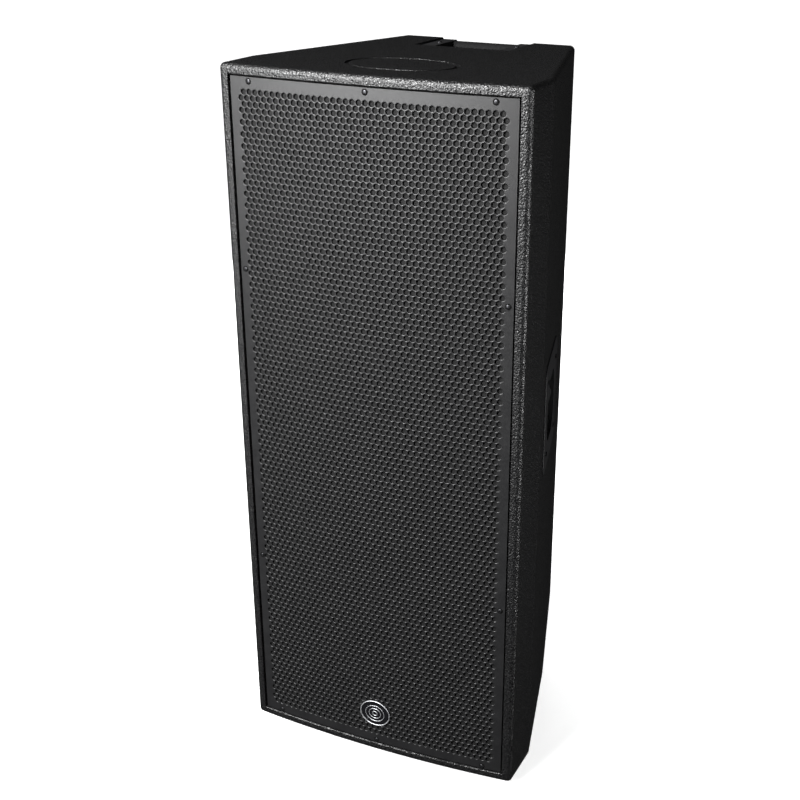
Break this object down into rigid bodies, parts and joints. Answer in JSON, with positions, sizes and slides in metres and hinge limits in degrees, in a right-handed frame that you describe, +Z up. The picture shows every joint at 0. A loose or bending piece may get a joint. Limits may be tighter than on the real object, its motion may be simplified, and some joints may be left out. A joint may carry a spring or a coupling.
{
  "type": "pa speaker cabinet",
  "caption": "Tall black floor-standing PA speaker cabinet with a bowed perforated steel grille, tapered sides, recessed side handles, tilt handle and transport wheels.",
  "frame": {"origin": "on the floor, under the middle of the cabinet's outside box", "axes": "+X to the right seen from the front, +Y towards the back, +Z up; the grille faces -Y"},
  "size_m": [0.48, 0.44, 1.1235],
  "materials": {
    "cabinet_paint": "black textured paint over plywood",
    "inner_board": "plywood painted flat black",
    "bare_plywood": "bare plywood",
    "grille_steel": "satin black powder coat",
    "grille_foam": "open-cell foam, charcoal",
    "black_screw": "black zinc",
    "badge_chrome": "polished",
    "badge_black": "gloss black",
    "cast_frame": "black coated casting",
    "ferrite": "dark ferrite",
    "plated_steel": "zinc plated",
    "cone_paper": "black paper pulp",
    "surround_cloth": "doped black cloth",
    "spider_cloth": "amber resin cloth",
    "coil_former": "wound coil on a former",
    "moulded_black": "fine-grained black moulding",
    "circuit_board": "green laminate",
    "copper_winding": "enamelled copper wire",
    "capacitor_sleeve": "yellow film capacitor",
    "plate_steel": "black powder coat",
    "grip_rubber": "satin black",
    "tyre_rubber": "dark grey",
    "foot_rubber": "matt black",
    "wadding": "white polyester fibre"
  },
  "bodies": {
    "cabinet": {"acoustic_wadding": "wadding", "back_panel": "cabinet_paint", "badge_bezel": "badge_chrome", "badge_face": "badge_black", "bottom_panel": "cabinet_paint", "compression_driver": "ferrite", "compression_driver_cover": "moulded_black", "crossover_board": "circuit_board", "crossover_capacitors": "capacitor_sleeve", "crossover_inductors": "copper_winding", "front_baffle": "inner_board", "grille": "grille_steel", "grille_battens": "inner_board", "grille_foam": "grille_foam", "grille_screws": "black_screw", "horn_bolts": "black_screw", "horn_flare": "moulded_black", "input_plate": "plate_steel", "input_sockets": "moulded_black", "left_front_side_panel": "cabinet_paint", "left_handle_cup": "moulded_black", "left_handle_grip": "grip_rubber", "left_rear_side_panel": "cabinet_paint", "lower_woofer_back_plate": "plated_steel", "lower_woofer_frame": "cast_frame", "lower_woofer_magnet": "ferrite", "lower_woofer_spider": "spider_cloth", "lower_woofer_surround": "surround_cloth", "lower_woofer_top_plate": "plated_steel", "panel_screws": "black_screw", "reflex_ports": "moulded_black", "right_front_side_panel": "cabinet_paint", "right_handle_cup": "moulded_black", "right_handle_grip": "grip_rubber", "right_rear_side_panel": "cabinet_paint", "rubber_feet": "foot_rubber", "tilt_handle_bar": "plate_steel", "tilt_handle_cup": "moulded_black", "top_panel": "cabinet_paint", "upper_woofer_back_plate": "plated_steel", "upper_woofer_frame": "cast_frame", "upper_woofer_magnet": "ferrite", "upper_woofer_spider": "spider_cloth", "upper_woofer_surround": "surround_cloth", "upper_woofer_top_plate": "plated_steel", "wheel_axles": "plated_steel", "wheel_brackets": "plated_steel", "wheel_corner_panel": "cabinet_paint", "window_braces": "bare_plywood", "woofer_bolts": "black_screw"},
    "upper_woofer_cone_assembly": {"upper_woofer_cone": "cone_paper", "upper_woofer_dust_cap": "cone_paper", "upper_woofer_voice_coil": "coil_former"},
    "lower_woofer_cone_assembly": {"lower_woofer_cone": "cone_paper", "lower_woofer_dust_cap": "cone_paper", "lower_woofer_voice_coil": "coil_former"},
    "left_wheel": {"left_wheel_tyre": "tyre_rubber", "left_wheel_hub": "moulded_black"},
    "right_wheel": {"right_wheel_tyre": "tyre_rubber", "right_wheel_hub": "moulded_black"}
  },
  "joints": [
    {"name": "upper_woofer_travel", "type": "slide", "parent": "cabinet", "child": "upper_woofer_cone_assembly", "axis": [0, -1, 0], "range_m": [-0.005, 0.005], "stiffness_N_per_m": 5000},
    {"name": "lower_woofer_travel", "type": "slide", "parent": "cabinet", "child": "lower_woofer_cone_assembly", "axis": [0, -1, 0], "range_m": [-0.005, 0.005], "stiffness_N_per_m": 5000},
    {"name": "left_wheel_spin", "type": "hinge", "parent": "cabinet", "child": "left_wheel", "pos_m": [-0.105, 0.186, 0.035], "axis": [1, 0, 0], "continuous": true},
    {"name": "right_wheel_spin", "type": "hinge", "parent": "cabinet", "child": "right_wheel", "pos_m": [0.105, 0.186, 0.035], "axis": [1, 0, 0], "continuous": true}
  ]
}
